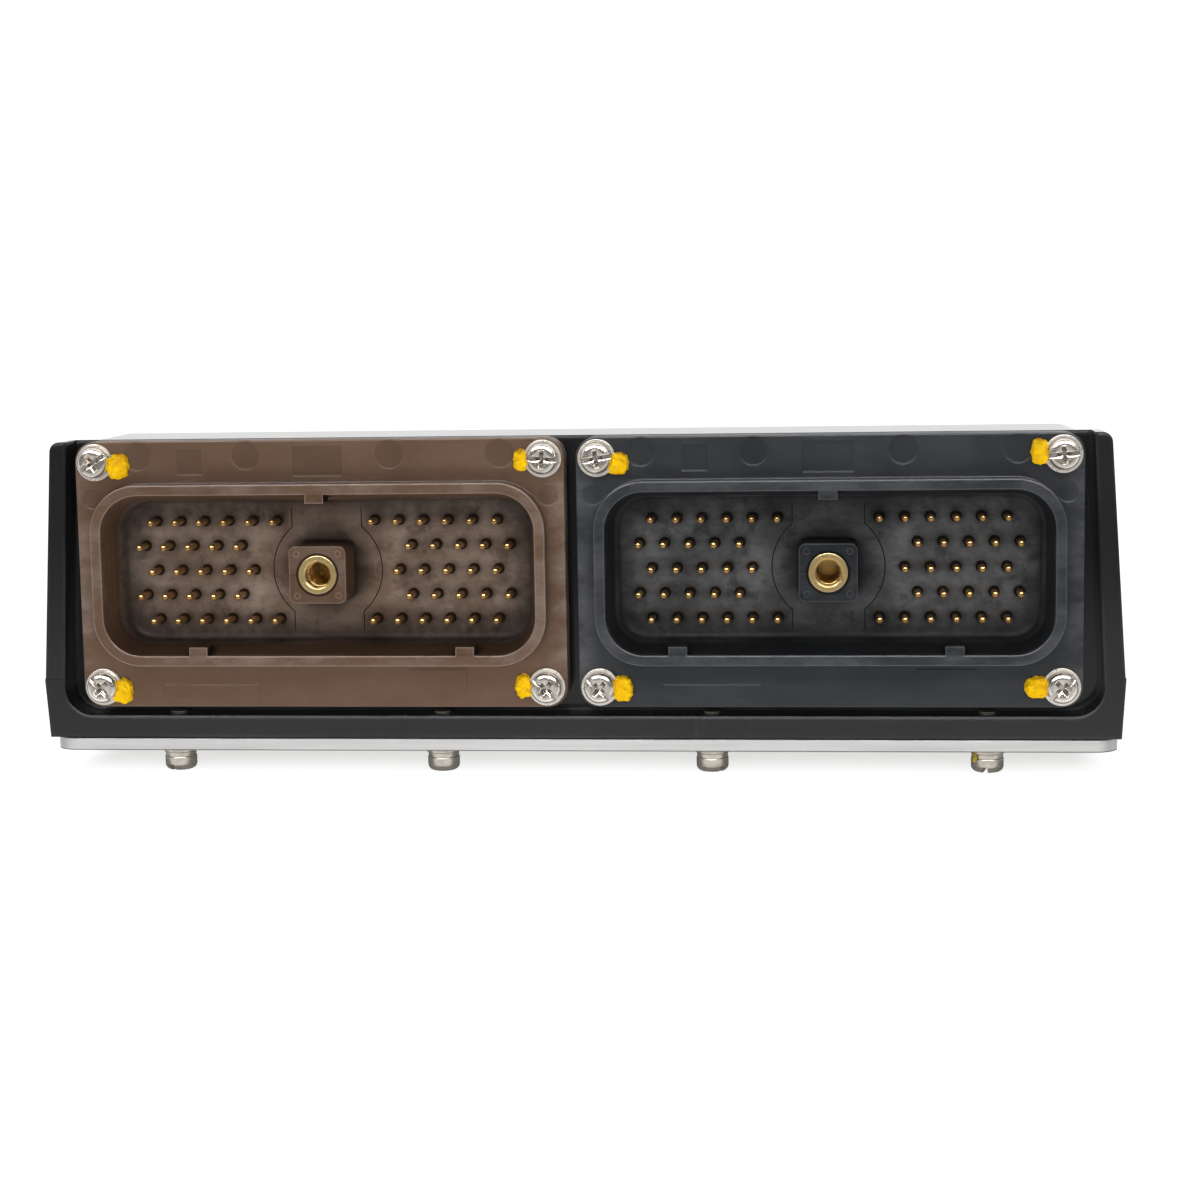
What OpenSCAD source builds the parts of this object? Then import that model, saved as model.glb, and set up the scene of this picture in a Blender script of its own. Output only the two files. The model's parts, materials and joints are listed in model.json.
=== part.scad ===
// Engine control unit: a cast case with two many-way plug headers side by side
// in its front, closed underneath by a screwed-on sheet plate that carries off the heat.
// Millimetres. Front looks towards -Y, +X is to the right from the front, +Z is up.
// Origin: under the middle of the unit, on the plane that the base screws stand on.

/* [Contacts] */
// Distance between neighbouring contacts of a row, and between rows
contact_pitch = 4.2; // [4:0.05:4.6]
// Diameter of a contact pin
contact_d = 1.2; // [1:0.05:1.5]
// Length of pin that stands above the header floor
contact_reach = 5; // [4:0.1:5.4]
// Diameter of the moulded well round the foot of each pin
well_d = 1.9; // [1.7:0.05:2.4]
// Depth of that well
well_depth = 0.6; // [0.3:0.05:1.2]
// Side of the square solder tail of a contact
tail_w = 0.64; // [0.5:0.02:0.68]
// Distance between the rows of tails on the board
tail_step = 2.6; // [2.3:0.1:3]
// Bend radius of a tail, at its middle line
tail_bend = 1.2; // [0.8:0.1:1.6]
// Straight run of the shortest tail behind the header
tail_run = 1.5; // [1:0.1:3]
// Length of tail that stands out under the board
tail_stub = 1.2; // [0.8:0.1:2]

/* [Headers] */
// Space from the outer contacts to the edge of the header floor
field_margin = 3.35; // [3:0.05:5]
// How far the plug cavity narrows on each side from its mouth to its floor
floor_inset = 1.8; // [0.6:0.1:2.4]
// Depth of the plug cavity from the rim to the floor
cavity_depth = 9.7; // [9.2:0.1:12]
// Corner radius of the cavity mouth
cavity_r = 6.4; // [5:0.1:8]
// Thickness of the rim wall at its mouth
rim_wall = 1.7; // [1.4:0.1:2.5]
// Height of the rim above the flange
rim_proud = 3.5; // [2.5:0.1:5]
// Width of flange beside the rim
flange_lip_x = 3.05; // [3:0.05:6]
// Width of flange above and below the rim
flange_lip_z = 7.3; // [7:0.1:10]
// Thickness of the flange
flange_t = 4.5; // [3.5:0.1:6]
// Corner radius of the flange
flange_r = 3.4; // [2.5:0.1:3.4]
// Distance between the two flanges
flange_gap = 2.04; // [1:0.02:4]
// Distance of the rim's middle above the middle of its flange
rim_lift = 0.15; // [0:0.05:0.5]
// Wall of the header body behind the flange
back_wall = 2; // [1.6:0.1:3]
// Length of header body that stands out inside the case
back_reach = 0.7; // [0.5:0.1:3]
// Width of a plug key
key_w = 3.1; // [2.4:0.1:4]
// Height of a plug key above the cavity wall
key_h = 1.5; // [1:0.1:2]
// Length of a plug key from the rim inwards
key_len = 4.2; // [3:0.1:6]
// Distance of the near lower key from the middle of the header
key_near = 20.5; // [18:0.1:22]
// Distance of the far lower key from the middle of the header
key_far = 24.7; // [23:0.1:28]
// Side of the square jackscrew tower
tower_side = 9.6; // [9:0.1:11]
// Corner radius of the tower
tower_r = 1.2; // [0.8:0.1:2]
// Height of the tower above the header floor
tower_h = 8.6; // [7.5:0.1:9]
// Width of the mould seams in the floor and across the tower
seam_w = 0.2; // [0.1:0.02:0.3]
// Depth of those seams
seam_depth = 0.25; // [0.1:0.05:0.4]
// Half width of the strip between the floor seams
strip_half = 6.1; // [5.5:0.1:7]
// Radius of the floor seams where they go round the tower
seam_r = 9.5; // [8.5:0.1:10]
// Depth or height of the moulding marks on the flange
mark_depth = 0.12; // [0.05:0.01:0.2]
// Diameter of the large round marks above the rim
mark_d = 4.7; // [4:0.1:5]
// Diameter of the small round marks beside the rim
small_mark_d = 3.4; // [2.5:0.1:3.4]

/* [Jackscrew insert] */
// Bore of the insert, the core of its M5 thread
jack_bore_d = 4.2; // [3.8:0.05:4.5]
// Outside diameter of the insert
jack_insert_d = 6.4; // [6:0.1:7]
// Width of the chamfer at the mouth of the bore
jack_chamfer = 0.3; // [0.2:0.05:0.5]
// Thickness of header left behind the insert
jack_floor = 1.1; // [0.8:0.1:3]

/* [Header fixing] */
// Distance of a header screw from the flange edges
screw_edge = 3.45; // [3.3:0.05:4]
// Thread diameter of the header screws
header_screw_d = 2.5; // [2:0.1:3]
// Diameter of a header screw head
header_head_d = 5.1; // [4.5:0.1:5.8]
// Height of a header screw head
header_head_h = 1.9; // [1.5:0.1:2.3]
// Outside diameter of a header washer
header_washer_d = 6.2; // [5.8:0.1:6.4]
// Thickness of a header washer
header_washer_t = 0.6; // [0.4:0.1:0.9]
// Thickness of the seal behind each flange
header_seal_t = 1.5; // [1:0.1:2]
// Radius of a paint dab on the flange
dab_r = 2.1; // [1.5:0.1:2.4]
// Height of a paint dab
dab_h = 0.9; // [0.5:0.1:1.2]
// Distance of a paint dab from its screw
dab_reach = 3.9; // [3.4:0.1:4.6]

/* [Case] */
// Depth of the case from its front frame to its rear face
case_d = 150; // [140:1:190]
// Thickness of the cheeks beside the flanges, at the middle of their height
cheek_t = 3.1; // [2.5:0.1:4.5]
// Space between a flange and its cheek, at the middle of their height
side_gap = 2.64; // [2:0.05:4]
// Draft of the inside of the cheeks, in degrees
opening_draft = 2.7; // [1:0.1:3.5]
// Draft of the outside of the case, in degrees
case_draft = 3.6; // [1:0.1:4]
// Height of the parting line above the open underside
parting_h = 10.1; // [6:0.1:14]
// Step in the outside at the parting line
parting_step = 0.15; // [0:0.05:0.3]
// Thickness of the rail under the flanges
rail_t = 3.75; // [3:0.05:6]
// Space between the flanges and the rail
under_gap = 1.55; // [1.2:0.05:3]
// Inner corner radius of the frame above the rail
opening_r = 4.8; // [3:0.1:7]
// Radius of the upper corners of the cheeks
cheek_r = 1.7; // [0.5:0.1:2.2]
// Thickness of the front wall behind the flanges
front_wall = 5; // [4:0.1:7]
// Thickness of the side and rear walls and of the roof
wall_t = 3; // [2.5:0.1:4]
// Depth of the raised bridge over the headers
bridge_d = 24; // [20:0.5:40]
// Drop from the bridge to the main roof
bridge_drop = 9; // [8:0.5:11]
// Run of the slope behind the bridge
bridge_slope = 4; // [2:0.5:8]
// Distance of the ends of the bridge inside the sides of the case
bridge_inset = 1.5; // [1:0.1:4]
// Radius of the long upper edges of the case
roof_r = 6; // [3:0.1:7]
// Radius of the upright rear corners
corner_r = 10; // [6:0.5:14]
// Radius of the bosses for the base screws
boss_r = 3.75; // [3.2:0.05:4.5]

/* [Base] */
// Thickness of the base plate
plate_t = 2; // [1.5:0.1:3]
// Distance of the plate edge inside the foot of the case
plate_inset = 0.3; // [0.2:0.1:1.2]
// Corner radius of the base plate
plate_r = 4; // [3:0.5:10]
// Thickness of the seal on the base plate
base_seal_t = 0.3; // [0.2:0.05:0.6]
// Width of that seal
base_seal_w = 9; // [8.5:0.5:12]
// Distance between neighbouring base screws at front and rear
base_pitch = 45.75; // [40:0.25:48]
// Distance of the front base screws behind the front frame
front_inset = 3.9; // [3.6:0.1:4.2]
// Distance of the other base screws inside the foot of the case
edge_inset = 5.5; // [5:0.1:7]
// Distance of the side base screws from the middle of the unit
side_place = 26; // [18:1:34]
// Thread diameter of the base screws
base_screw_d = 3; // [2.5:0.1:3.2]
// Length of base screw that stands out above the rail
base_screw_proud = 0.3; // [0.2:0.1:1]
// Diameter of a base screw head
base_head_d = 5.4; // [5:0.1:6.2]
// Height of a base screw head
base_head_h = 2.3; // [1.8:0.1:2.8]
// Outside diameter of a base lock washer
base_lock_d = 5.2; // [5:0.1:6.2]
// Thickness of a base lock washer
base_lock_t = 0.9; // [0.7:0.1:1.2]
// Outside diameter of a base washer
base_washer_d = 5.7; // [5.4:0.1:6.6]
// Thickness of a base washer
base_washer_t = 0.6; // [0.4:0.1:0.9]

/* [Circuit board] */
// Thickness of the circuit board
board_t = 1.6; // [1:0.1:2.4]
// Diameter of the screws that hold the board
board_screw_d = 3; // [2.5:0.1:3.2]
// Radius of the bosses that the board is screwed to
board_boss_r = 3.2; // [2.8:0.1:3.6]
// Distance of the board screws from the board edges
board_screw_edge = 5; // [4.5:0.1:6]
// Height of a driver transistor
driver_h = 4.4; // [3.5:0.1:5]
// Thickness of a thermal pad
pad_t = 0.6; // [0.4:0.1:1.5]
// Side of the processor package
processor_side = 26; // [20:1:30]
// Diameter of a storage capacitor
capacitor_d = 16; // [10:0.5:18]
// Height of a storage capacitor
capacitor_h = 24; // [15:0.5:26]
// Diameter of the power inductor
inductor_d = 18; // [12:0.5:20]
// Height of the power inductor
inductor_h = 12; // [8:0.5:14]

/* [Hidden] */
$fn = 48;

// Clearances and cutting overrun
fit = 0.03;
hole_clear = 0.3;
window_clear = 0.5;
board_clear = 0.6;
cut = 1;

// Header sizes, from the field of contacts outwards
field_half = [7.5, 2] * contact_pitch;
floor_size = 2 * (field_half + [field_margin, field_margin]);
cavity_size = floor_size + 2 * [floor_inset, floor_inset];
rim_size = cavity_size + 2 * [rim_wall, rim_wall];
rim_r = cavity_r + rim_wall;
back_size = floor_size + 2 * [back_wall, back_wall];
back_r = cavity_r - floor_inset + back_wall;
window_size = back_size + 2 * [window_clear, window_clear];
flange_w = rim_size[0] + 2 * flange_lip_x;
flange_h = rim_size[1] + 2 * flange_lip_z;
header_x = (flange_w + flange_gap) / 2;
recess_d = flange_t + header_seal_t;

// Depths, from the rims at the front to the rear face
front_y = rim_proud - (rim_proud + case_d) / 2;
rear_y = front_y + case_d;
rim_y = front_y - rim_proud;
floor_y = rim_y + cavity_depth;
wall_y = front_y + recess_d;
inside_y = wall_y + front_wall;
back_y = inside_y + back_reach;
tower_y = floor_y - tower_h;
jack_len = back_y - jack_floor - tower_y;

// Heights, from the base screw heads upwards
plate_z = base_head_h + base_lock_t + base_washer_t;
plate_top = plate_z + plate_t;
case_z = plate_top + base_seal_t;
part_z = case_z + parting_h;
rail_top = case_z + rail_t;
flange_z = rail_top + under_gap + flange_h / 2;
axis_z = flange_z + rim_lift;
top_z = flange_z + flange_h / 2;
roof_z = top_z - bridge_drop;
base_screw_len = rail_top + base_screw_proud - base_head_h;
board_z = plate_top + pad_t + driver_h;
board_top = board_z + board_t;

// Half widths of the case, and its height over a depth
function opening_half(z) = header_x + flange_w / 2 + side_gap - tan(opening_draft) * (z - flange_z);
function case_half(z) = header_x + flange_w / 2 + side_gap + cheek_t - tan(case_draft) * (z - flange_z);
function roof_over(y) = y < front_y + bridge_d - wall_t ? top_z : roof_z;
part_half = case_half(part_z) + parting_step;
foot_inset = tan(case_draft) * parting_h;
foot_half = part_half - foot_inset;
foot_rear = rear_y - foot_inset;

// Places of the fixings
base_row = [for (i = [-1.5 : 1.5]) i * base_pitch];
side_x = foot_half - edge_inset;
base_front_y = front_y + front_inset;
base_rear_y = foot_rear - edge_inset;
base_front_places = [for (x = base_row) [x, base_front_y]];
base_boss_places = concat(
    [for (x = base_row) [x, base_rear_y]],
    [for (s = [-1, 1], t = [-1, 1]) [s * side_x, t * side_place]]
);
base_places = concat(base_front_places, base_boss_places);
base_hole_r = base_screw_d / 2 + fit;
screw_half = [flange_w / 2 - screw_edge, flange_h / 2 - screw_edge];

// Distance of the seams' ends from the floor's edge; middles of the flange strips above and
// below the rim; places and sizes of the marks on them, as shares of the flange width and
// of the strip height
upper_mid = (flange_h + rim_size[1] + 2 * rim_lift) / 4;
lower_mid = (2 * rim_lift - flange_h - rim_size[1]) / 4;
seam_end = 1.2;
mark_shares = [0.147, 0.371];
mark_edge = 0.2;
small_mark_edge = 1;
small_mark_gap = 1.35;
date_share = -0.263;
date_size = [0.58, 0.58] * flange_lip_z;
badge_size = [1.14, 0.68] * flange_lip_z;
code_share = -0.233;
code_drop = flange_lip_z / 6;
code_size = [2.22, 0.36] * flange_lip_z;
plaque_share = 0.235;
plaque_size = [1.34, 0.73] * flange_lip_z;

// Outline of the circuit board, and the holes and places on it
board_half = side_x - boss_r - board_clear;
board_front = inside_y + board_clear;
board_rear = base_rear_y - boss_r - board_clear;
board_mid = (board_front + board_rear) / 2;
board_places = concat(
    [[0, board_front + board_screw_edge], [0, board_rear - board_screw_edge]],
    [for (s = [-1, 1], y = [board_mid, board_rear - board_screw_edge])
        [s * (board_half - board_screw_edge), y]]
);
tail_hole_d = tail_w * sqrt(2) + 2 * fit;
board_corner_r = 2;
board_head_d = 5.4;
board_head_h = 2;
board_screw_len = 8;
tails_rear = back_y + tail_run + tail_bend + 4 * tail_step + tail_w;

// Rows of contacts: the two outer rows reach furthest in, beside the tower
function row_start(v) = abs(v) == 2 ? 2 : abs(v) == 1 ? 3.5 : 3;
function row_end(v) = abs(v) == 1 ? 7.5 : 7;
contact_rows = [for (v = [-2 : 2], s = [-1, 1], u = [row_start(v) : row_end(v)]) [s * u, v]];

// Drawing helpers

// Extrudes a drawing in X and Z from depth y0 back to depth y1
module from_front(y0, y1) {
    translate([0, y1, 0])
        rotate([90, 0, 0])
            linear_extrude(y1 - y0)
                children();
}

// Extrudes a drawing in Y and Z over the half width w to each side
module from_side(w) {
    rotate([90, 0, 90])
        translate([0, 0, -w])
            linear_extrude(2 * w)
                children();
}

// Rectangle about the origin with round corners
module rounded_rect(size, r) {
    square([size[0] - 2 * r, size[1]], center = true);
    square([size[0], size[1] - 2 * r], center = true);
    for (sx = [-1, 1], sy = [-1, 1])
        translate([sx * (size[0] / 2 - r), sy * (size[1] / 2 - r)])
            circle(r);
}

// Round bar along the depth, from y0 back to y1
module bar_y(r, y0, y1) {
    translate([0, y1, 0])
        rotate([90, 0, 0])
            cylinder(r = r, h = y1 - y0);
}

// Puts its children at the middle of one header
module at_header(side) {
    translate([side * header_x, 0, axis_z])
        children();
}

// Puts its children at each header screw
module at_header_screws() {
    for (side = [-1, 1], sx = [-1, 1], sz = [-1, 1])
        translate([side * header_x + sx * screw_half[0], front_y, flange_z + sz * screw_half[1]])
            children();
}

// Puts its children at each of the listed places in the plan, at height z
module at_places(places, z) {
    for (p = places)
        translate([p[0], p[1], z])
            children();
}

// Case

// Drafted outline with a step at the parting line and round upper corners
module drafted_profile(half, top, r) {
    upper = half - parting_step;
    lean = tan(case_draft);
    mid_z = top - r;
    mid_x = upper - lean * (mid_z - part_z) - r / cos(case_draft);
    tip = [mid_x + r * cos(case_draft), mid_z + r * sin(case_draft)];
    for (s = [-1, 1])
        translate([s * mid_x, mid_z])
            circle(r);
    polygon([
        [foot_inset - half, case_z], [half - foot_inset, case_z],
        [half, part_z], [upper, part_z], tip, [mid_x, top],
        [-mid_x, top], [-tip[0], tip[1]], [-upper, part_z], [-half, part_z]
    ]);
}

// Plan from y0 back to y1 with round corners at the rear
module rear_rounded_plan(half, y0, y1, r) {
    translate([-half, y0])
        square([2 * half, y1 - y0 - r]);
    translate([r - half, y0])
        square([2 * (half - r), y1 - y0]);
    for (s = [-1, 1])
        translate([s * (half - r), y1 - r])
            circle(r);
}

// Upright prism over a plan, as tall as the case
module upright() {
    translate([0, 0, case_z - cut])
        linear_extrude(top_z - case_z + 2 * cut)
            children();
}

// Main box of the casting behind the front frame
module case_body() {
    intersection() {
        from_front(wall_y, rear_y + cut)
            drafted_profile(part_half, roof_z, roof_r);
        from_side(part_half + cut)
            drafted_profile(rear_y, roof_z, roof_r);
        upright()
            rear_rounded_plan(part_half, wall_y, rear_y, corner_r);
    }
}

// Raised bridge that carries the front wall above the main roof
module case_bridge() {
    bridge_end = front_y + bridge_d;
    slope_end = bridge_end + bridge_slope;
    half = part_half - bridge_inset;
    intersection() {
        from_front(wall_y, slope_end)
            drafted_profile(half, top_z, roof_r);
        from_side(part_half + cut)
            polygon([
                [wall_y, case_z], [slope_end, case_z], [slope_end, roof_z],
                [bridge_end, top_z], [wall_y, top_z]
            ]);
        upright()
            rear_rounded_plan(half, wall_y, slope_end, corner_r);
    }
}

// Front frame: the two cheeks and the rail under the flanges
module case_frame() {
    from_front(front_y, wall_y + cut)
        drafted_profile(part_half, top_z, cheek_r);
}

// Parting line of the casting, cut across the fronts of the cheeks
module parting_groove() {
    translate([-part_half - cut, front_y - cut, part_z - parting_step])
        cube([2 * (part_half + cut), parting_step + cut, parting_step]);
}

// Open front recess that the flanges sit in
module front_opening() {
    mid_z = rail_top + opening_r;
    mid_x = opening_half(mid_z) - opening_r / cos(opening_draft);
    tip_x = mid_x + opening_r * cos(opening_draft);
    tip_z = mid_z - opening_r * sin(opening_draft);
    from_front(front_y - cut, wall_y) {
        polygon([
            [-mid_x, rail_top], [mid_x, rail_top], [tip_x, tip_z],
            [opening_half(top_z + cut), top_z + cut], [-opening_half(top_z + cut), top_z + cut],
            [-tip_x, tip_z]
        ]);
        for (s = [-1, 1])
            translate([s * mid_x, mid_z])
                circle(opening_r);
    }
}

// Hollow for the electronics, open underneath
module case_hollow() {
    ceiling = roof_z - wall_t;
    inner_half = foot_half - wall_t;
    inner_rear = foot_rear - wall_t;
    lean = tan(case_draft) * (ceiling - case_z);
    inner_r = corner_r - wall_t;
    intersection() {
        from_front(inside_y, inner_rear + cut)
            polygon([
                [-inner_half, case_z - cut], [inner_half, case_z - cut],
                [inner_half - lean, ceiling], [lean - inner_half, ceiling]
            ]);
        from_side(part_half)
            polygon([
                [inside_y, case_z - cut], [inner_rear, case_z - cut],
                [inner_rear - lean, ceiling], [inside_y, ceiling]
            ]);
        upright()
            rear_rounded_plan(inner_half, inside_y, inner_rear, inner_r);
    }
}

// Hollow under the bridge, above the main ceiling
module bridge_hollow() {
    half = case_half(top_z) - bridge_inset - roof_r - wall_t;
    end_y = front_y + bridge_d - wall_t;
    translate([-half, inside_y, roof_z - wall_t - cut])
        cube([2 * half, end_y - inside_y, bridge_drop + cut]);
}

// Openings in the front wall for the header bodies
module header_windows() {
    for (side = [-1, 1])
        at_header(side)
            from_front(wall_y - cut, inside_y + cut)
                rounded_rect(window_size, back_r + window_clear);
}

// Columns inside the case that the base screws and board screws are driven into
module case_bosses() {
    base_boss_h = plate_z - case_z + base_screw_len + wall_t;
    at_places(base_boss_places, case_z)
        cylinder(r = boss_r, h = base_boss_h);
    for (p = board_places)
        translate([p[0], p[1], board_top])
            cylinder(r = board_boss_r, h = roof_over(p[1]) - wall_t / 2 - board_top);
}

// Cast case, painted black
module housing() {
    color([0.22, 0.22, 0.23])
        difference() {
            union() {
                difference() {
                    union() {
                        case_body();
                        case_bridge();
                        case_frame();
                    }
                    case_hollow();
                    bridge_hollow();
                    front_opening();
                    parting_groove();
                    header_windows();
                }
                case_bosses();
            }
            at_places(base_front_places, case_z - cut)
                cylinder(r = base_hole_r, h = rail_t + 2 * cut);
            at_places(base_boss_places, case_z - cut)
                cylinder(r = base_hole_r, h = plate_z - case_z + base_screw_len + 2 * cut);
            at_places(board_places, board_top - cut)
                cylinder(r = board_screw_d / 2 + fit, h = board_screw_len + 2 * cut);
            at_header_screws()
                bar_y(header_screw_d / 2 + fit, recess_d - cut, recess_d + front_wall + cut);
        }
}

// Base

// Plan of the base plate, drawn smaller by the given inset
module plate_plan(inset) {
    half = foot_half - plate_inset - inset;
    y0 = front_y + plate_inset + inset;
    y1 = foot_rear - plate_inset - inset;
    translate([0, (y0 + y1) / 2])
        rounded_rect([2 * half, y1 - y0], max(plate_r - inset, 1));
}

// Sheet plate that closes the case and spreads the heat
module base_plate() {
    color([0.82, 0.82, 0.82])
        difference() {
            translate([0, 0, plate_z])
                linear_extrude(plate_t)
                    plate_plan(0);
            at_places(base_places, plate_z - cut)
                cylinder(d = base_screw_d + hole_clear, h = plate_t + 2 * cut);
        }
}

// Flat seal between plate and case
module base_seal() {
    edge = 0.5;
    color([0.12, 0.12, 0.12])
        difference() {
            translate([0, 0, plate_top])
                linear_extrude(base_seal_t)
                    difference() {
                        plate_plan(edge);
                        plate_plan(edge + base_seal_w);
                    }
            at_places(base_places, plate_top - cut)
                cylinder(d = base_screw_d + hole_clear, h = base_seal_t + 2 * cut);
        }
}

// Pan head with a slot, standing on z = 0 with its shank upwards
module pan_screw(d, len, head_d, head_h) {
    round_r = head_h * 0.45;
    slot_w = head_d * 0.16;
    slot_depth = head_h * 0.4;
    difference() {
        rotate_extrude() {
            square([head_d / 2 - round_r, head_h]);
            translate([0, round_r])
                square([head_d / 2, head_h - round_r]);
            translate([head_d / 2 - round_r, round_r])
                circle(round_r);
        }
        translate([-head_d, -slot_w / 2, -cut])
            cube([2 * head_d, slot_w, slot_depth + cut]);
    }
    translate([0, 0, head_h])
        cylinder(d = d, h = len);
}

// Screws through the base plate; the unit stands on their heads
module base_screws() {
    first_turn = 69;
    turn = 123;
    color([0.6, 0.58, 0.52])
        for (i = [0 : len(base_places) - 1])
            translate([base_places[i][0], base_places[i][1], 0])
                rotate([0, 0, first_turn + i * turn])
                    pan_screw(base_screw_d, base_screw_len, base_head_d, base_head_h);
}

// Split spring washers on the screw heads
module base_lock_washers() {
    split_w = 0.5;
    color([0.5, 0.48, 0.44])
        at_places(base_places, base_head_h)
            difference() {
                cylinder(d = base_lock_d, h = base_lock_t);
                translate([0, 0, -cut])
                    cylinder(d = base_screw_d + hole_clear, h = base_lock_t + 2 * cut);
                translate([0, -split_w / 2, -cut])
                    cube([base_lock_d, split_w, base_lock_t + 2 * cut]);
            }
}

// Plain washers under the base plate
module base_washers() {
    color([0.66, 0.64, 0.6])
        at_places(base_places, base_head_h + base_lock_t)
            difference() {
                cylinder(d = base_washer_d, h = base_washer_t);
                translate([0, 0, -cut])
                    cylinder(d = base_screw_d + hole_clear, h = base_washer_t + 2 * cut);
            }
}

// Headers

// Plug cavity, narrowing towards its floor
module plug_cavity() {
    mouth_t = 0.02;
    floor_r = cavity_r - floor_inset;
    hull() {
        from_front(rim_y - cut, rim_y)
            rounded_rect(cavity_size, cavity_r, $fn = 32);
        from_front(floor_y - mouth_t, floor_y)
            rounded_rect(floor_size, floor_r, $fn = 32);
    }
}

// Key rib on the cavity wall: up = 1 hangs from the top wall, up = -1 stands on the lower one
module plug_key(x, up) {
    root = rim_wall / 2;
    from_front(rim_y, rim_y + key_len)
        translate([x - key_w / 2, up > 0 ? cavity_size[1] / 2 - key_h : -cavity_size[1] / 2 - root])
            square([key_w, key_h + root]);
}

// Middle of the floor between the seams, drawn smaller at the sides by the given inset
module floor_middle(inset) {
    square([2 * (strip_half - inset), floor_size[1] - 2 * seam_end + inset], center = true);
    circle(seam_r - inset);
}

// Seams in the floor beside the tower and across the tower's front
module mould_seams() {
    from_front(floor_y - fit, floor_y + seam_depth)
        difference() {
            floor_middle(0);
            floor_middle(seam_w);
        }
    from_front(tower_y - cut, tower_y + seam_depth)
        square([tower_side + 2 * cut, seam_w / 2], center = true);
}

// Sunk marks on the flange: ejector rounds, and two bare panels in the upper strip
module sunk_marks() {
    mark_z = (flange_h - mark_d) / 2 - mark_edge;
    small_x = (flange_w - small_mark_d) / 2 - small_mark_edge;
    small_z = screw_half[1] - (header_washer_d + small_mark_d) / 2 - small_mark_gap;
    for (s = [-1, 1]) {
        for (share = mark_shares)
            translate([s * share * flange_w, mark_z])
                circle(d = mark_d);
        translate([s * small_x, small_z])
            circle(d = small_mark_d);
    }
    translate([date_share * flange_w, upper_mid])
        square(date_size, center = true);
    translate([0, upper_mid])
        square(badge_size, center = true);
}

// Raised bare panels in the lower strip of the flange
module raised_marks() {
    translate([code_share * flange_w, lower_mid - code_drop])
        square(code_size, center = true);
    translate([plaque_share * flange_w, lower_mid])
        square(plaque_size, center = true);
}

// Moulded header with its flange, rim, floor and jackscrew tower; side is -1 left, 1 right
module header(side) {
    floor_bore_y = floor_y - cut;
    at_header(side)
        difference() {
            union() {
                difference() {
                    union() {
                        translate([0, 0, -rim_lift])
                            from_front(front_y, front_y + flange_t)
                                rounded_rect([flange_w, flange_h], flange_r);
                        translate([0, 0, -rim_lift])
                            from_front(front_y - mark_depth, front_y + mark_depth)
                                raised_marks();
                        from_front(rim_y, front_y + flange_t / 2)
                            rounded_rect(rim_size, rim_r);
                        from_front(front_y + flange_t / 2, back_y)
                            rounded_rect(back_size, back_r);
                    }
                    plug_cavity();
                }
                from_front(tower_y, floor_y + cut)
                    rounded_rect([tower_side, tower_side], tower_r);
                plug_key(0, 1);
                plug_key(side * key_near, -1);
                plug_key(-side * key_far, -1);
            }
            for (p = contact_rows)
                translate([p[0] * contact_pitch, 0, p[1] * contact_pitch]) {
                    bar_y(contact_d / 2 + fit, floor_bore_y, back_y + cut);
                    bar_y(well_d / 2, floor_bore_y, floor_y + well_depth);
                }
            bar_y(jack_insert_d / 2 + fit, tower_y - cut, tower_y + jack_len);
            mould_seams();
            translate([0, 0, -rim_lift])
                from_front(front_y - fit, front_y + mark_depth)
                    sunk_marks();
            for (sx = [-1, 1], sz = [-1, 1])
                translate([sx * screw_half[0], 0, sz * screw_half[1] - rim_lift])
                    bar_y((header_screw_d + hole_clear) / 2, front_y - cut, front_y + flange_t + cut);
        }
}

module header_left() {
    color([0.41, 0.32, 0.27])
        header(-1);
}

module header_right() {
    color([0.16, 0.16, 0.17])
        header(1);
}

// Flat seal behind a flange
module header_seal(side) {
    edge = 0.5;
    color([0.1, 0.1, 0.1])
        difference() {
            at_header(side)
                from_front(front_y + flange_t, wall_y)
                    difference() {
                        translate([0, -rim_lift])
                            rounded_rect([flange_w - 2 * edge, flange_h - 2 * edge], flange_r - edge);
                        rounded_rect(window_size, back_r + window_clear);
                    }
            at_header_screws()
                bar_y((header_screw_d + hole_clear) / 2, flange_t - cut, recess_d + cut);
        }
}

module header_seal_left() {
    header_seal(-1);
}

module header_seal_right() {
    header_seal(1);
}

// Threaded insert in the tower, with a chamfered mouth
module jack_insert(side) {
    color([0.78, 0.62, 0.3])
        at_header(side)
            translate([0, tower_y, 0])
                rotate([-90, 0, 0])
                    rotate_extrude()
                        polygon([
                            [jack_bore_d / 2 + jack_chamfer, 0], [jack_insert_d / 2, 0],
                            [jack_insert_d / 2, jack_len], [jack_bore_d / 2, jack_len],
                            [jack_bore_d / 2, jack_chamfer]
                        ]);
}

module jack_insert_left() {
    jack_insert(-1);
}

module jack_insert_right() {
    jack_insert(1);
}

// Side view of a tail: back from the pin, round the bend and down by the given drop
module tail_drawing(bend_y, drop) {
    half = tail_w / 2;
    translate([back_y - cut, -half])
        square([bend_y - back_y + cut, tail_w]);
    translate([bend_y, -tail_bend])
        intersection() {
            difference() {
                circle(tail_bend + half);
                circle(tail_bend - half);
            }
            square(tail_bend + tail_w);
        }
    translate([bend_y + tail_bend - half, -drop])
        square([tail_w, drop - tail_bend]);
}

// One contact: round-ended pin through the floor, then a square tail bent down into the board
module contact(u, v) {
    r = contact_d / 2;
    pin_len = back_y - floor_y + contact_reach;
    bend_y = back_y + tail_run + (v + 2) * tail_step;
    z = v * contact_pitch;
    drop = axis_z + z - board_z + tail_stub;
    translate([u * contact_pitch, 0, z]) {
        translate([0, back_y, 0])
            rotate([90, 0, 0])
                rotate_extrude() {
                    square([r, pin_len - r]);
                    translate([0, pin_len - r])
                        intersection() {
                            circle(r);
                            square(r);
                        }
                }
        from_side(tail_w / 2)
            tail_drawing(bend_y, drop);
    }
}

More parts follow.
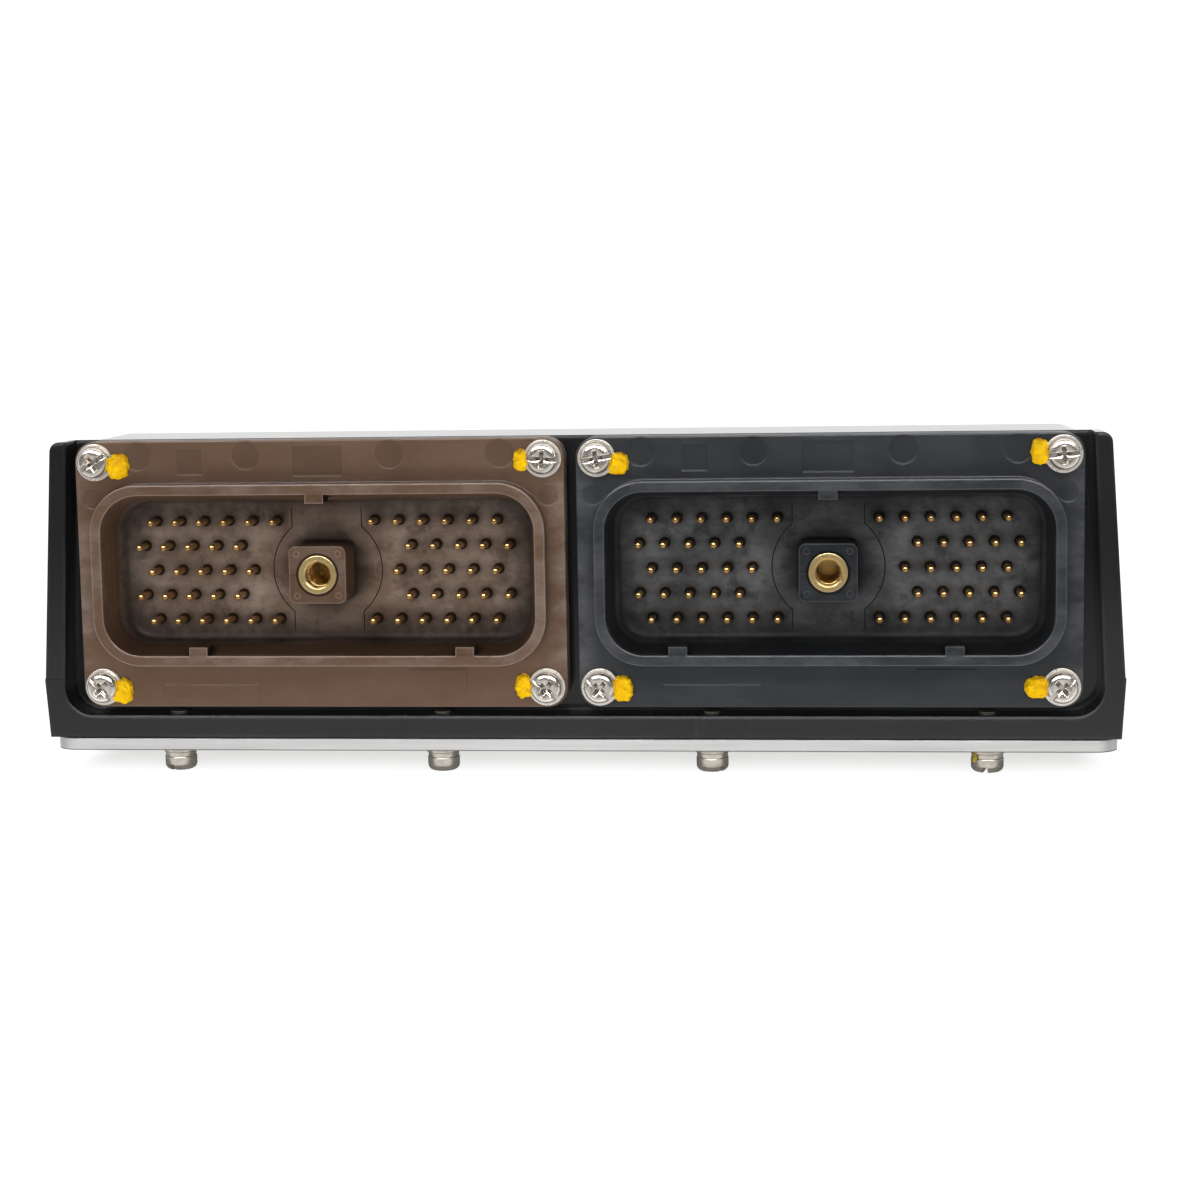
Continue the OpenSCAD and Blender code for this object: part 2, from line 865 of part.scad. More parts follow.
module contacts(side) {
    color([0.83, 0.68, 0.3])
        at_header(side)
            for (p = contact_rows)
                contact(p[0], p[1]);
}

module contacts_left() {
    contacts(-1);
}

module contacts_right() {
    contacts(1);
}

// Screws that hold the header flanges, each turned differently
module header_screws() {
    turn = 23;
    cross_w = header_head_d * 0.16;
    cross_len = header_head_d * 0.55;
    cross_depth = header_head_h * 0.55;
    screw_len = header_washer_t + recess_d + front_wall - fit;
    color([0.75, 0.75, 0.74])
        for (side = [-1, 1], sx = [-1, 1], sz = [-1, 1])
            translate([
                side * header_x + sx * screw_half[0],
                front_y - header_washer_t - header_head_h,
                flange_z + sz * screw_half[1]
            ])
                rotate([-90, turn * (side + 2 * sx + 3 * sz), 0])
                    difference() {
                        pan_screw(header_screw_d, screw_len, header_head_d, header_head_h);
                        translate([-cross_w / 2, -cross_len / 2, -cut])
                            cube([cross_w, cross_len, cross_depth + cut]);
                        translate([-cross_len / 2, -cross_w / 2, -cut])
                            cube([cross_len, cross_w, cross_depth + cut]);
                    }
}

module header_washers() {
    color([0.7, 0.7, 0.69])
        at_header_screws()
            difference() {
                bar_y(header_washer_d / 2, -header_washer_t, 0);
                bar_y((header_screw_d + hole_clear) / 2, -header_washer_t - cut, cut);
            }
}

// Dabs of witness paint on the flange, against the inner side of each header screw
module witness_paint() {
    color([0.95, 0.74, 0.1])
        for (side = [-1, 1], sx = [-1, 1], sz = [-1, 1])
            translate([side * header_x + sx * screw_half[0], front_y, flange_z + sz * screw_half[1]])
                difference() {
                    translate([-sx * dab_reach, 0, 0])
                        rotate([90, 0, 0])
                            cylinder(r1 = dab_r, r2 = dab_r - dab_h, h = dab_h);
                    bar_y(header_washer_d / 2 + fit, -dab_h - cut, cut);
                }
}

// Electronics

// Board with holes for the tails and the board screws
module circuit_board() {
    color([0.1, 0.35, 0.2])
        difference() {
            translate([0, (board_front + board_rear) / 2, board_z])
                linear_extrude(board_t)
                    rounded_rect([2 * board_half, board_rear - board_front], board_corner_r);
            for (side = [-1, 1], p = contact_rows)
                translate([
                    side * header_x + p[0] * contact_pitch,
                    back_y + tail_run + (p[1] + 2) * tail_step + tail_bend,
                    board_z - cut
                ])
                    cylinder(d = tail_hole_d, h = board_t + 2 * cut);
            at_places(board_places, board_z - cut)
                cylinder(d = board_screw_d + hole_clear, h = board_t + 2 * cut);
        }
}

// Screws driven up through the board into the bosses of the case
module board_screws() {
    color([0.7, 0.7, 0.68])
        at_places(board_places, board_z - board_head_h)
            pan_screw(board_screw_d, board_screw_len, board_head_d, board_head_h);
}

// Flat package with a row of leads on two or four sides
module chip(size, leads, lead_pitch, sides) {
    lead = [0.35, 1, 0.2];
    lead_z = size[2] * 0.4;
    translate([-size[0] / 2, -size[1] / 2, 0])
        cube(size);
    for (a = [0 : 1 : sides - 1])
        rotate([0, 0, a * 360 / sides])
            for (i = [0 : leads - 1])
                translate([(i - (leads - 1) / 2) * lead_pitch - lead[0] / 2, size[1] / 2 - lead[2], 0])
                    cube([lead[0], lead[1], lead_z]);
}

// Parts of the board are placed from its middle line and its free rear part
work_y = (tails_rear + board_rear) / 2;
row_space = 2;
suppressor = [7, 6, 2.4];

module processor() {
    height = 2.2;
    lead_count = 22;
    lead_pitch = processor_side * 0.9 / lead_count;
    color([0.12, 0.12, 0.13])
        translate([-processor_side, work_y, board_top])
            chip([processor_side, processor_side, height], lead_count, lead_pitch, 4);
}

module memory_chips() {
    size = [12, 8, 1.2];
    lead_count = 12;
    lead_pitch = size[0] * 0.9 / lead_count;
    color([0.12, 0.12, 0.13])
        for (s = [-1, 1])
            translate([-processor_side * 2.1, work_y + s * size[0], board_top])
                chip(size, lead_count, lead_pitch, 2);
}

module transceivers() {
    size = [9, 4, 1.6];
    spacing = 15;
    lead_count = 7;
    lead_pitch = size[0] * 0.98 / lead_count;
    color([0.12, 0.12, 0.13])
        for (i = [-1 : 1])
            translate([-header_x + i * spacing, tails_rear + size[0], board_top])
                chip(size, lead_count, lead_pitch, 2);
}

// Flat metal can with round ends
module crystal() {
    size = [11, 4.6];
    height = 3.5;
    color([0.75, 0.75, 0.75])
        translate([-processor_side, work_y + processor_side, board_top])
            linear_extrude(height)
                rounded_rect(size, size[1] / 2.1);
}

// Package with a metal tab and short legs
module power_package(height) {
    body = [10, 9];
    tab = [8, 2];
    tab_t = 1.3;
    leg = [0.8, 4];
    translate([-body[0] / 2, -body[1] / 2, 0])
        cube([body[0], body[1], height]);
    translate([-tab[0] / 2, body[1] / 2 - cut, 0])
        cube([tab[0], tab[1] + cut, tab_t]);
    for (s = [-1, 1])
        translate([s * body[0] / 4 - leg[0] / 2, -body[1] / 2 - leg[1] + cut, 0])
            cube([leg[0], leg[1], leg[0]]);
}

module voltage_regulator() {
    height = 4.4;
    color([0.14, 0.14, 0.15])
        translate([header_x + inductor_d, work_y, board_top])
            power_package(height);
}

// Output drivers under the board, which give their heat to the base plate
driver_spacing = 15;
driver_places = [for (i = [-3.5 : 3.5]) [i * driver_spacing, work_y]];

module driver_transistors() {
    color([0.14, 0.14, 0.15])
        at_places(driver_places, board_z)
            mirror([0, 0, 1])
                power_package(driver_h);
}

module thermal_pads() {
    size = [11, 10];
    color([0.75, 0.55, 0.6])
        at_places(driver_places, plate_top)
            translate([-size[0] / 2, -size[1] / 2, 0])
                cube([size[0], size[1], pad_t]);
}

// Cans with a rolled groove above the foot
module storage_capacitors() {
    r = capacitor_d / 2;
    edge = 0.8;
    groove_z = capacitor_h * 0.12;
    groove_r = 0.7;
    spacing = capacitor_d + 3;
    color([0.2, 0.24, 0.38])
        for (i = [-1 : 1])
            translate([header_x / 2 + i * spacing, board_rear - capacitor_d, board_top])
                rotate_extrude()
                    difference() {
                        union() {
                            square([r, capacitor_h - edge]);
                            square([r - edge, capacitor_h]);
                            translate([r - edge, capacitor_h - edge])
                                circle(edge);
                        }
                        translate([r, groove_z])
                            circle(groove_r);
                    }
}

// Drum core with its winding between two cheeks
module power_inductor() {
    r = inductor_d / 2;
    cheek = 2;
    waist = 1.5;
    color([0.25, 0.25, 0.26])
        translate([header_x, work_y, board_top]) {
            cylinder(r = r, h = cheek);
            cylinder(r = r - waist, h = inductor_h);
            translate([0, 0, inductor_h - cheek])
                cylinder(r = r, h = cheek);
        }
}

// Row of small blocks along the width of the board
module block_row(count, spacing, size) {
    for (i = [0 : count - 1])
        translate([(i - (count - 1) / 2) * spacing - size[0] / 2, -size[1] / 2, 0])
            cube(size);
}

module surge_suppressors() {
    count = 5;
    spacing = suppressor[0] + 2 * row_space;
    color([0.15, 0.15, 0.16])
        translate([header_x, tails_rear + row_space + suppressor[1] / 2, board_top])
            block_row(count, spacing, suppressor);
}

module filter_capacitors() {
    size = [2, 3.2, 1.6];
    count = 14;
    spacing = size[0] + row_space;
    color([0.66, 0.55, 0.4])
        translate([header_x, tails_rear + 2 * row_space + suppressor[1] + size[1] / 2, board_top])
            block_row(count, spacing, size);
}

module chip_resistors() {
    size = [1.6, 3.2, 0.6];
    count = 16;
    spacing = size[0] + row_space;
    color([0.1, 0.1, 0.1])
        translate([-header_x, tails_rear + row_space + size[1] / 2, board_top])
            block_row(count, spacing, size);
}

housing();
base_plate();
base_seal();
base_screws();
base_lock_washers();
base_washers();
header_left();
header_right();
header_seal_left();
header_seal_right();
jack_insert_left();
jack_insert_right();
contacts_left();
contacts_right();
header_screws();
header_washers();
witness_paint();
circuit_board();
board_screws();
processor();
memory_chips();
transceivers();
crystal();
voltage_regulator();
driver_transistors();
thermal_pads();
storage_capacitors();
power_inductor();
filter_capacitors();
chip_resistors();
surge_suppressors();
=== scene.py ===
"""Engine control unit: finishes, fixings and studio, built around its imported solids."""

import json
import math
from types import SimpleNamespace

import bpy
from bpy.props import FloatProperty, FloatVectorProperty, PointerProperty
from bpy.types import Operator, Panel, PropertyGroup
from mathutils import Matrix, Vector


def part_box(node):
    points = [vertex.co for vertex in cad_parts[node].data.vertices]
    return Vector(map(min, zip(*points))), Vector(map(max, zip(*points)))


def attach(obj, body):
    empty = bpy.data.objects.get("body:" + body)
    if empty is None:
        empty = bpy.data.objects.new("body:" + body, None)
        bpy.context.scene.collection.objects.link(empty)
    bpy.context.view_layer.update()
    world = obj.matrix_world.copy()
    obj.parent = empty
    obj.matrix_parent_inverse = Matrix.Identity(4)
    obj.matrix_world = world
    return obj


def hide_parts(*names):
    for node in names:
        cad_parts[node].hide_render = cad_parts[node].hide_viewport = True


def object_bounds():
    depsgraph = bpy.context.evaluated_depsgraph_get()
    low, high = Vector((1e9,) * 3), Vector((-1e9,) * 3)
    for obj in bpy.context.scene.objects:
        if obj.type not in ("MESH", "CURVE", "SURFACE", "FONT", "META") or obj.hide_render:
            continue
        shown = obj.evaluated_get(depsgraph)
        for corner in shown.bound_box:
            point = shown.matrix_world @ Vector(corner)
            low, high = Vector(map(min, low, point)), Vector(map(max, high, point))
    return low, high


bl_info = {
    "name": "Engine control unit",
    "version": (1, 0, 0),
    "blender": (4, 5, 0),
    "location": "3D View > Sidebar > Control unit",
    "description": "Finishes, fixings and studio for an engine control unit",
    "category": "Object",
}

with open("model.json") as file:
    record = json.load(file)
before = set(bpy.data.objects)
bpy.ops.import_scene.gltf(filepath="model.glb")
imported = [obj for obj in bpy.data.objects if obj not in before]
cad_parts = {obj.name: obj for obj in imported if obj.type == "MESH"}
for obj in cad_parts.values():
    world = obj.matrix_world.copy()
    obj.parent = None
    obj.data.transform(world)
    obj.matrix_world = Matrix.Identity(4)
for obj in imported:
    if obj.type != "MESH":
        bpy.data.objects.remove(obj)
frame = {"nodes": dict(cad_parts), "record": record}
NODES = frame["nodes"]
CAD_LOW, CAD_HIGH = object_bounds()
BODY = "root"
MM = 0.001
HEADERS = ("header_left", "header_right")
CORNERS = ((-1, 1), (1, 1), (-1, -1), (1, -1))

# Plug mouth of a header: how far it lies from the flange edges, across and up, and its corner radius
MOUTH_EDGE = (4.75 * MM, 9.0 * MM)
MOUTH_R = 6.4 * MM
# Length of a pin in the plug cavity
PIN_LENGTH = 5 * MM
# Half the width of the bare middle of the cavity floor, between the fields of pins
BARE_HALF = 9 * MM
# Tower of a header: radius of the gap round its insert, and how far across and up its corner marks lie
GAP_R = 3.5 * MM
MARK_PLACE = 3.5 * MM
# Radius of a round corner mark on the tower
MARK_R = 0.49 * MM


# Sizes and colours that a user would change

class CaseSettings(PropertyGroup):
    """Finish of the cast case, its plate and its seals."""

    paint: FloatVectorProperty(
        name="Paint", description="Colour of the paint on the casting",
        subtype="COLOR", min=0, max=1, default=(0.0078, 0.0081, 0.0088))
    worn_paint: FloatVectorProperty(
        name="Worn paint", description="Colour of the paint where edges are rubbed",
        subtype="COLOR", min=0, max=1, default=(0.045, 0.046, 0.048))
    edge_radius: FloatProperty(
        name="Edge radius", description="Softness of the edges of the casting",
        unit="LENGTH", default=1.3 * MM)
    plate: FloatVectorProperty(
        name="Plate", description="Colour of the bare sheet plate",
        subtype="COLOR", min=0, max=1, default=(0.62, 0.616, 0.61))
    rubber: FloatVectorProperty(
        name="Rubber", description="Colour of the seals",
        subtype="COLOR", min=0, max=1, default=(0.012, 0.013, 0.016))


class HeaderSettings(PropertyGroup):
    """Finish of the two headers with their pins and inserts."""

    brown: FloatVectorProperty(
        name="Brown", description="Colour of the left header",
        subtype="COLOR", min=0, max=1, default=(0.095, 0.054, 0.0322))
    black: FloatVectorProperty(
        name="Black", description="Colour of the right header",
        subtype="COLOR", min=0, max=1, default=(0.0130, 0.0145, 0.0168))
    # Rubbed colour of each header, also lightened into their painted edge highlights.
    worn_and_highlight_brown: FloatVectorProperty(
        name="Worn brown", description="Colour of the left header where it is rubbed",
        subtype="COLOR", min=0, max=1, default=(0.25, 0.19, 0.16))
    worn_and_highlight_black: FloatVectorProperty(
        name="Worn black", description="Colour of the right header where it is rubbed",
        subtype="COLOR", min=0, max=1, default=(0.082, 0.084, 0.089))
    edge_radius: FloatProperty(
        name="Edge radius", description="Softness of the moulded edges",
        unit="LENGTH", default=0.5 * MM)
    hollow_radius: FloatProperty(
        name="Hollow radius", description="Softness of the corners at the cavity floor",
        unit="LENGTH", default=2.3 * MM)
    brown_dust: FloatVectorProperty(
        name="Dust on brown", description="Colour of the dust in the left plug cavity",
        subtype="COLOR", min=0, max=1, default=(0.325, 0.255, 0.212))
    black_dust: FloatVectorProperty(
        name="Dust on black", description="Colour of the dust in the right plug cavity",
        subtype="COLOR", min=0, max=1, default=(0.165, 0.169, 0.174))
    # Painted shade: colour laid deep in the closed-in corners of the plug cavities.
    cavity_shade: FloatVectorProperty(
        name="Grime", description="Colour of the old dirt in the corners of the plug cavities",
        subtype="COLOR", min=0, max=1, default=(0.0072, 0.0060, 0.0054))
    pin: FloatVectorProperty(
        name="Pins", description="Colour of the plated pins",
        subtype="COLOR", min=0, max=1, default=(0.55, 0.325, 0.12))
    brass: FloatVectorProperty(
        name="Brass", description="Colour of the threaded inserts",
        subtype="COLOR", min=0, max=1, default=(0.74, 0.55, 0.25))
    thread_pitch: FloatProperty(
        name="Thread pitch", description="Rise of the insert thread in one turn",
        unit="LENGTH", default=0.8 * MM)
    thread_height: FloatProperty(
        name="Thread height", description="How far the thread stands into the bore",
        unit="LENGTH", default=0.16 * MM)


class FixingSettings(PropertyGroup):
    """Header screws, base screws and the paint that marks them."""

    nickel: FloatVectorProperty(
        name="Nickel", description="Colour of the header screws",
        subtype="COLOR", min=0, max=1, default=(0.90, 0.84, 0.76))
    zinc: FloatVectorProperty(
        name="Zinc", description="Colour of the base screws",
        subtype="COLOR", min=0, max=1, default=(0.62, 0.58, 0.505))
    screw_edge: FloatProperty(
        name="Screw edge", description="Distance of a header screw from the flange edges",
        unit="LENGTH", default=3.45 * MM)
    head_diameter: FloatProperty(
        name="Head diameter", description="Diameter of a header screw head",
        unit="LENGTH", default=5.1 * MM)
    shank_diameter: FloatProperty(
        name="Shank diameter", description="Diameter of a header screw below its head",
        unit="LENGTH", default=2.5 * MM)
    slot_width: FloatProperty(
        name="Slot width", description="Width of the slot and of the arms of the cross",
        unit="LENGTH", default=0.95 * MM)
    cross_length: FloatProperty(
        name="Cross length", description="Length of the cross recess over two arms",
        unit="LENGTH", default=3.5 * MM)
    turns: FloatVectorProperty(
        name="Turns", description="Turn of each screw head, left header first, row by row",
        subtype="EULER", unit="ROTATION", size=8,
        default=[math.radians(a) for a in (-32, 3, 47, 40, -10, -5, 43, -42)])
    paint: FloatVectorProperty(
        name="Witness paint", description="Colour of the paint that marks a tightened screw",
        subtype="COLOR", min=0, max=1, default=(0.90, 0.55, 0.003))
    paint_height: FloatProperty(
        name="Paint height", description="Height of a paint dab above the flange",
        unit="LENGTH", default=1.1 * MM)


class StageSettings(PropertyGroup):
    """Floor, light and camera."""

    camera_place: FloatVectorProperty(
        name="Camera place", description="Where the camera stands",
        subtype="TRANSLATION", unit="LENGTH", default=(44.445 * MM, -466.53 * MM, 80.77 * MM))
    camera_turn: FloatVectorProperty(
        name="Camera turn", description="Direction and tilt of the camera",
        subtype="EULER", unit="ROTATION",
        default=[math.radians(a) for a in (82.598, 0.932, 5.656)])
    lens: FloatProperty(
        name="Lens", description="Focal length on a square 36 mm sensor", default=72)
    key_power: FloatProperty(
        name="Key light", description="Power of the low light beside the camera",
        unit="POWER", default=1.4)
    table_power: FloatProperty(
        name="Table light", description="Power of the light that shines up through the table",
        unit="POWER", default=2.0)
    back_power: FloatProperty(
        name="Back light", description="Power of the soft light above and behind the unit",
        unit="POWER", default=5)
    fill: FloatProperty(
        name="Fill", description="Strength of the light from all round", default=0.14)
    gloom: FloatProperty(
        name="Gloom", description="Brightness of the room behind the camera, as shiny pieces mirror it",
        default=0.12)
    lamp: FloatProperty(
        name="Lamp", description="Brightness of the lamp above the camera, as shiny pieces mirror it",
        default=15)
    floor_size: FloatProperty(
        name="Floor size", description="Side of the floor", unit="LENGTH", default=8)


# Finishes

class Wire:
    """Output of a node. Sums and products of wires and numbers add Math nodes to the same finish."""

    def __init__(self, finish, socket):
        self.finish = finish
        self.socket = socket

    def __add__(self, other):
        return self.finish.math("ADD", self, other)

    def __radd__(self, other):
        return self.finish.math("ADD", other, self)

    def __sub__(self, other):
        return self.finish.math("SUBTRACT", self, other)

    def __rsub__(self, other):
        return self.finish.math("SUBTRACT", other, self)

    def __mul__(self, other):
        return self.finish.math("MULTIPLY", self, other)

    def __rmul__(self, other):
        return self.finish.math("MULTIPLY", other, self)


class Finish:
    """Node tree of one material or of the world, filled by expressions."""

    def __init__(self, name, holder=None):
        self.holder = holder or bpy.data.materials.new(name)
        self.holder.use_nodes = True
        self.tree = self.holder.node_tree
        self.tree.nodes.clear()

    def node(self, kind, settings=None, inputs=None, output=0):
        """Adds a node, sets it up, feeds its sockets and returns one of its outputs."""
        node = self.tree.nodes.new(kind)
        for key, value in (settings or {}).items():
            setattr(node, key, value)
        for key, value in (inputs or {}).items():
            if isinstance(value, Wire):
                self.tree.links.new(value.socket, node.inputs[key])
            else:
                node.inputs[key].default_value = value
        return Wire(self, node.outputs[output]) if node.outputs else node

    def math(self, operation, *values):
        """Result of a Math node."""
        return self.node("ShaderNodeMath", {"operation": operation}, dict(enumerate(values)))

    def place(self):
        """Place on the piece, in metres."""
        return self.node("ShaderNodeTexCoord", output="Object")

    def axis(self, letter):
        """One coordinate of the place on the piece."""
        return self.node("ShaderNodeSeparateXYZ", inputs={0: self.place()}, output=letter)

    def noise(self, size, detail=3.0, stretch=(1, 1, 1), shift=(0, 0, 0), rough=0.5):
        """Cloudy pattern whose lumps are about the given size."""
        vector = self.node("ShaderNodeMapping", inputs={
            "Vector": self.place(), "Location": shift, "Scale": stretch})
        return self.node("ShaderNodeTexNoise", inputs={
            "Vector": vector, "Scale": 1 / size, "Detail": detail, "Roughness": rough})

    def step(self, value, low, high):
        """Smooth change from 0 at low to 1 at high, which may be the smaller of the two."""
        return self.node("ShaderNodeMapRange", {"interpolation_type": "SMOOTHSTEP"}, {
            "Value": value, "From Min": low, "From Max": high})

    def mix(self, mask, first, second):
        """Colour that goes from first to second as mask goes from 0 to 1."""
        return self.node("ShaderNodeMix", {"data_type": "RGBA"}, {
            "Factor": mask, 6: colour(first), 7: colour(second)}, output=2)

    def length(self, across, up):
        """Length of a way that goes so far across and so far up."""
        return self.node("ShaderNodeVectorMath", {"operation": "LENGTH"}, {
            0: self.node("ShaderNodeCombineXYZ", inputs={"X": across, "Z": up})}, output="Value")

    def soft_normal(self, radius):
        """Normal that is rounded at edges."""
        return self.node("ShaderNodeBevel", {"samples": 8}, {"Radius": radius})

    def sharp_normal(self):
        """Normal of the mesh itself."""
        return self.node("ShaderNodeNewGeometry", output="Normal")

    def turn(self, mask, first, second):
        """Normal that goes from first to second as mask goes from 0 to 1."""
        return self.node("ShaderNodeMix", {"data_type": "VECTOR"}, {
            "Factor": mask, 4: first, 5: second}, output=1)

    def soft_edges(self, radius):
        """Normal that is rounded at edges, and a mask of those edges."""
        soft = self.soft_normal(radius)
        same = self.node("ShaderNodeVectorMath", {"operation": "DOT_PRODUCT"}, {
            0: soft, 1: self.sharp_normal()}, output="Value")
        return soft, self.step(1 - same, 0.01, 0.2)

    def painted_shade_mask(self, reach, none=0.8, full=0.3):
        """Mask of painted shade in the narrow places, from no shade to full shade by their openness."""
        openness = self.node(
            "ShaderNodeAmbientOcclusion", {"samples": 8}, {"Distance": reach}, output="AO")
        return self.step(openness, none, full)

    def bump(self, height, depth, normal=None):
        """Normal of a surface with the given relief."""
        inputs = {"Height": height, "Distance": depth, "Strength": 1.0}
        if normal is not None:
            inputs["Normal"] = normal
        return self.node("ShaderNodeBump", inputs=inputs)

    def surface(self, matt=None, **inputs):
        """Ends the finish with a surface, dull where matt is 1; an underscore stands for a space."""
        sockets = {key.replace("_", " ").title(): value for key, value in inputs.items()}
        if "Ior" in sockets:
            sockets["IOR"] = sockets.pop("Ior")
        shader = self.node("ShaderNodeBsdfPrincipled", inputs=sockets)
        if matt is not None:
            dull = self.node("ShaderNodeBsdfDiffuse", inputs={
                "Color": sockets["Base Color"], "Normal": sockets["Normal"]})
            shader = self.node("ShaderNodeMixShader", inputs={0: matt, 1: shader, 2: dull})
        self.node("ShaderNodeOutputMaterial", inputs={"Surface": shader})
        return self.holder


def colour(value):
    """Colour with its alpha, or the wire that carries one."""
    return value if isinstance(value, Wire) else (*value[:3], 1.0)


def grey(level):
    """Grey of a level from 0, black, to 1, white."""
    return (level, level, level)


def shade(value, factor):
    """Colour made darker or lighter by a factor."""
    return tuple(min(1.0, part * factor) for part in value[:3])


def case_finish(name, settings):
    """Satin black paint with cast texture, rubbed edges and faint scuffs."""
    finish = Finish(name)
    soft, edges = finish.soft_edges(settings.edge_radius)
    cloud = finish.noise(22 * MM, detail=4)
    peel = finish.noise(0.9 * MM, detail=2)
    scuffs = finish.step(finish.noise(3 * MM, detail=5, stretch=(1, 1, 0.12)), 0.66, 0.80)
    base = finish.mix(cloud, shade(settings.paint, 0.8), shade(settings.paint, 1.25))
    rubbed = edges * finish.step(cloud, 0.35, 0.65)
    base = finish.mix(rubbed * 0.5 + scuffs * 0.25, base, settings.worn_paint)
    return finish.surface(
        base_color=base, roughness=0.34 + cloud * 0.12 + scuffs * 0.1, ior=1.3,
        coat_weight=0.85 + cloud * 0.15, coat_roughness=0.06,
        normal=finish.bump(peel, 0.005 * MM, soft))


def header_zones(finish, header):
    """Masks of the parts of a header that wear, gather dust and take painted shade and highlights in
    their own way.
    """
    low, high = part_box(header)
    half = (high - low) / 2
    insert = sum(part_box(header.replace("header", "jack_insert")), Vector()) / 2
    flange_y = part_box("header_washers")[1].y
    floor_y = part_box("contacts_left")[0].y + PIN_LENGTH
    depth = finish.axis("Y")
    aside = finish.math("ABSOLUTE", finish.axis("X") - insert.x)
    tall = finish.math("ABSOLUTE", finish.axis("Z") - insert.z)
    mouth = finish.length(
        finish.math("MAXIMUM", aside - (half.x - MOUTH_EDGE[0] - MOUTH_R), 0),
        finish.math("MAXIMUM", tall - (half.z - MOUTH_EDGE[1] - MOUTH_R), 0))
    around = finish.length(aside, tall)
    mark = finish.length(aside - MARK_PLACE, tall - MARK_PLACE)
    mark_ring = finish.step(finish.math("ABSOLUTE", mark - MARK_R), 0.13 * MM, 0.03 * MM)
    front = finish.step(depth, flange_y - 0.1 * MM, flange_y - 0.02 * MM) * finish.step(
        depth, flange_y + 0.5 * MM, flange_y + 0.3 * MM)
    front = front * finish.step(aside, half.x - 0.8 * MM, half.x - 1.2 * MM) * finish.step(
        tall, half.z - 0.8 * MM, half.z - 1.2 * MM)
    return SimpleNamespace(
        front=front,
        floor=finish.step(depth, flange_y + 2 * MM, floor_y - 1.5 * MM),
        rim=finish.step(depth, flange_y - 1.5 * MM, low.y + 0.4 * MM),
        cavity=finish.step(mouth, MOUTH_R + 0.05 * MM, MOUTH_R - 0.15 * MM),
        sides=finish.step(aside, half.x - 4 * MM, half.x),
        pin_fields=finish.step(aside, BARE_HALF, BARE_HALF + 4 * MM),
        sunk=finish.step(depth, flange_y + 0.04 * MM, flange_y + 0.1 * MM) * finish.step(
            depth, flange_y + 0.4 * MM, flange_y + 0.2 * MM),
        gap=finish.step(around, GAP_R + 0.25 * MM, GAP_R),
        marks=mark_ring * finish.step(depth, flange_y - 1.5 * MM, flange_y - 2 * MM))


def moulded_finish(name, body, worn_and_highlight, dusty, settings, header):
    """Moulded plastic: flow marks, rubbed rim with painted edge highlights, a dusty floor inside the
    plug cavity, and painted shade in its corners.
    """
    finish = Finish(name)
    zone = header_zones(finish, header)
    soft, edges = finish.soft_edges(settings.edge_radius)
    edges = edges * (1 - zone.front * 0.4)
    cloud = finish.noise(14 * MM, detail=4)
    flow = finish.noise(2.2 * MM, detail=3, stretch=(1, 1, 0.08))
    grain = finish.noise(0.35 * MM, detail=2)
    dust = finish.step(finish.noise(6 * MM, detail=6, rough=0.7, stretch=(0.5, 1, 1)), 0.35, 0.7)
    smears = finish.step(finish.noise(3.5 * MM, detail=5, rough=0.65), 0.5, 0.7)
    base = finish.mix(cloud * 0.6 + flow * 0.4, shade(body, 0.84), shade(body, 1.16))
    base = finish.mix(dust * (0.1 + zone.rim * 0.45 + zone.sides * 0.7), base, worn_and_highlight)
    # Pale dust on the cavity floor, half as strong in the bare middle, which paints the tower's shade
    # there.
    base = finish.mix((0.4 + dust * 0.6) * zone.floor * (0.5 + zone.pin_fields * 0.5), base, dusty)
    base = finish.mix(zone.floor * smears * 0.5, base, shade(body, 0.5))
    base = finish.mix(zone.sunk * 0.42, base, shade(body, 0.55))
    # Lighter edges, partly rubbed and partly painted highlight, strongest on the rim; the tower's corner
    # marks are drawn as pale rings.
    base = finish.mix(edges * (0.15 + zone.rim * 0.65) + zone.marks * 0.3, base, shade(worn_and_highlight, 1.5))
    # Painted shade in narrow corners and round the pins.
    base = finish.mix(finish.painted_shade_mask(1.2 * MM) * 0.6, base, shade(body, 0.15))
    # Painted shade deep in the closed-in corners of the plug cavity.
    base = finish.mix(finish.painted_shade_mask(6 * MM, 0.94, 0.6) * zone.cavity * 0.85, base, settings.cavity_shade)
    # Painted shade in the gap round the insert.
    base = finish.mix(zone.gap * 0.9, base, shade(body, 0.08))
    normal = finish.turn(zone.floor, soft, finish.soft_normal(settings.hollow_radius))
    normal = finish.turn(zone.front * 0.4, normal, finish.sharp_normal())
    return finish.surface(
        base_color=base, roughness=0.36 + cloud * 0.1 + dust * 0.1 - edges * zone.rim * 0.18, ior=1.5,
        matt=zone.cavity * 0.8, normal=finish.bump(grain * 0.6 + flow * 0.4, 0.008 * MM, normal))


def metal_finish(name, tint, roughness, grain_size, edge_radius, dirt=0.0, reach=0.8 * MM, metallic=1.0):
    """Plated or turned metal with fine tool marks, dull patches and painted shade in its crevices."""
    finish = Finish(name)
    soft, edges = finish.soft_edges(edge_radius)
    patches = finish.noise(1.6 * MM, detail=4)
    marks = finish.noise(grain_size, detail=3)
    base = finish.mix(finish.step(patches, 0.35, 0.75) * 0.5, tint, shade(tint, 0.68))
    base = finish.mix(edges * 0.4, base, shade(tint, 1.15))
    # Painted shade in crevices, such as the recesses of screw heads, between head and washer and at the
    # foot of a pin.
    base = finish.mix(finish.painted_shade_mask(reach) * dirt, base, shade(tint, 0.08))
    return finish.surface(
        base_color=base, metallic=metallic, roughness=roughness + patches * 0.12 + marks * 0.06,
        normal=finish.bump(marks, 0.006 * MM, soft))


